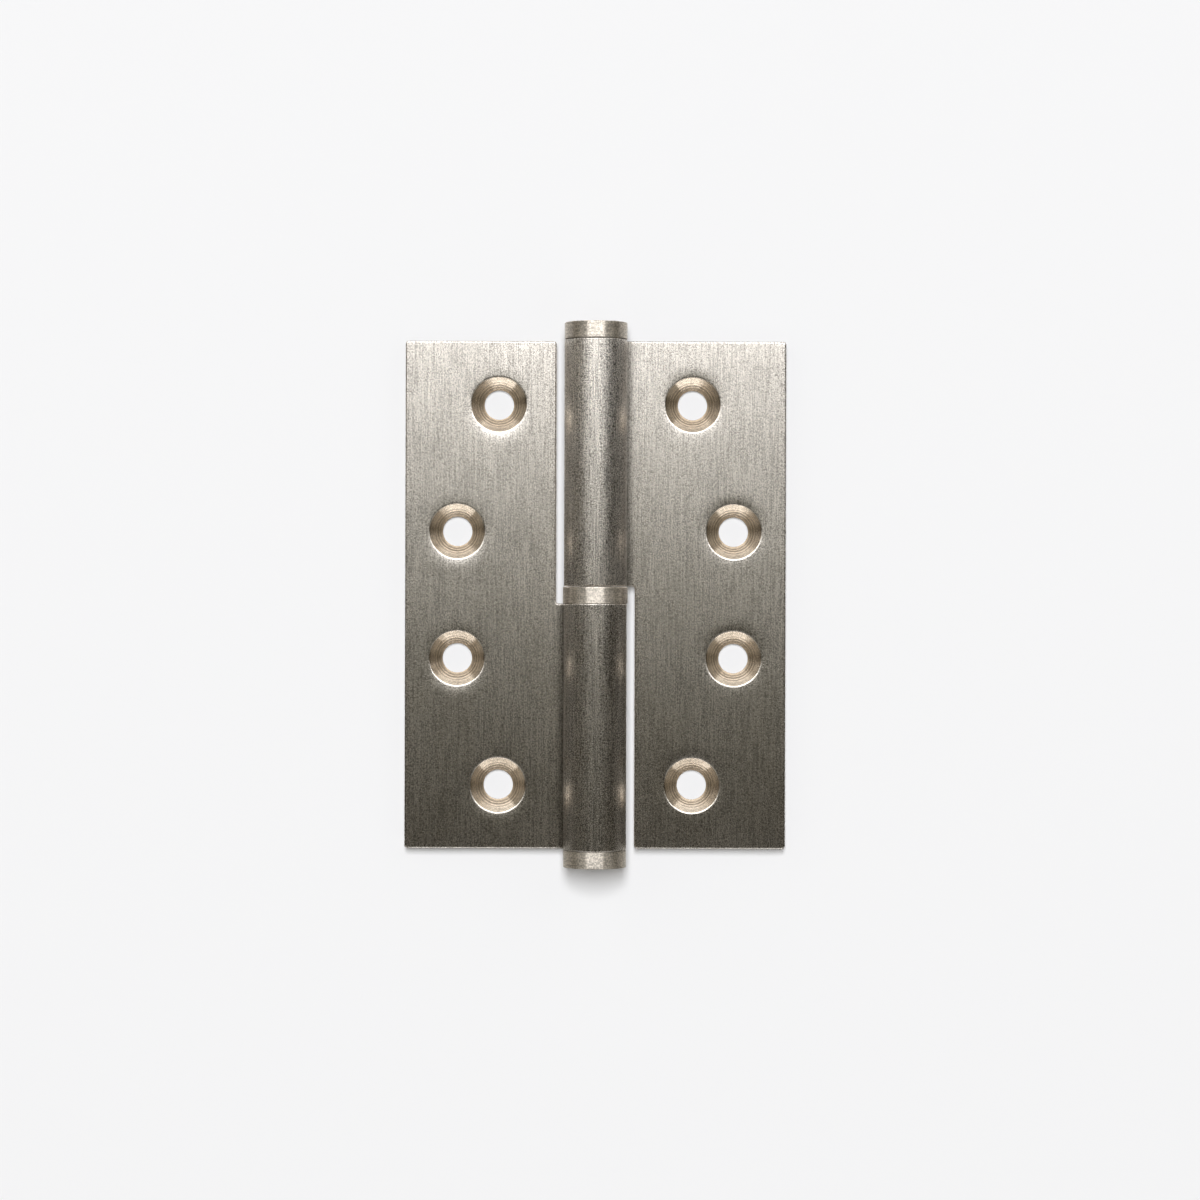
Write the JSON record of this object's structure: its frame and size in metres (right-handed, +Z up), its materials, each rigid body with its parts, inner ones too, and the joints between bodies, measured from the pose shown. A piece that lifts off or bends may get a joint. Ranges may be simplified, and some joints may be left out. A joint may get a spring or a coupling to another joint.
{
  "type": "lift off hinge",
  "caption": "Flat lift off butt hinge with countersunk leaves, rolled knuckles, a fixed pin, a bearing ring and end caps.",
  "frame": {"origin": "on the pin's line at the hinge's mid-height", "axes": "+Z up along the pin's line, +Y towards the frame and door that the leaves' backs bear on, +X towards the door leaf with the hinge flat open"},
  "size_m": [0.0762, 0.013, 0.1084],
  "materials": {
    "leaf_metal": "satin nickel, brushed along the pin's line",
    "turned_metal": "satin nickel, turned",
    "pin_metal": "ground steel"
  },
  "bodies": {
    "frame_leaf": {"frame_leaf": "leaf_metal", "hinge_pin": "pin_metal", "bottom_cap": "turned_metal"},
    "bearing_ring": {"bearing_ring": "turned_metal"},
    "door_leaf": {"door_leaf": "leaf_metal", "top_cap": "turned_metal"}
  },
  "joints": [
    {"name": "swing", "type": "hinge", "parent": "frame_leaf", "child": "bearing_ring", "pos_m": [0, 0, 0], "axis": [0, 0, 1], "range_deg": [-180, 90]},
    {"name": "lift_off", "type": "slide", "parent": "bearing_ring", "child": "door_leaf", "axis": [0, 0, 1], "range_m": [0, 0.046]}
  ]
}
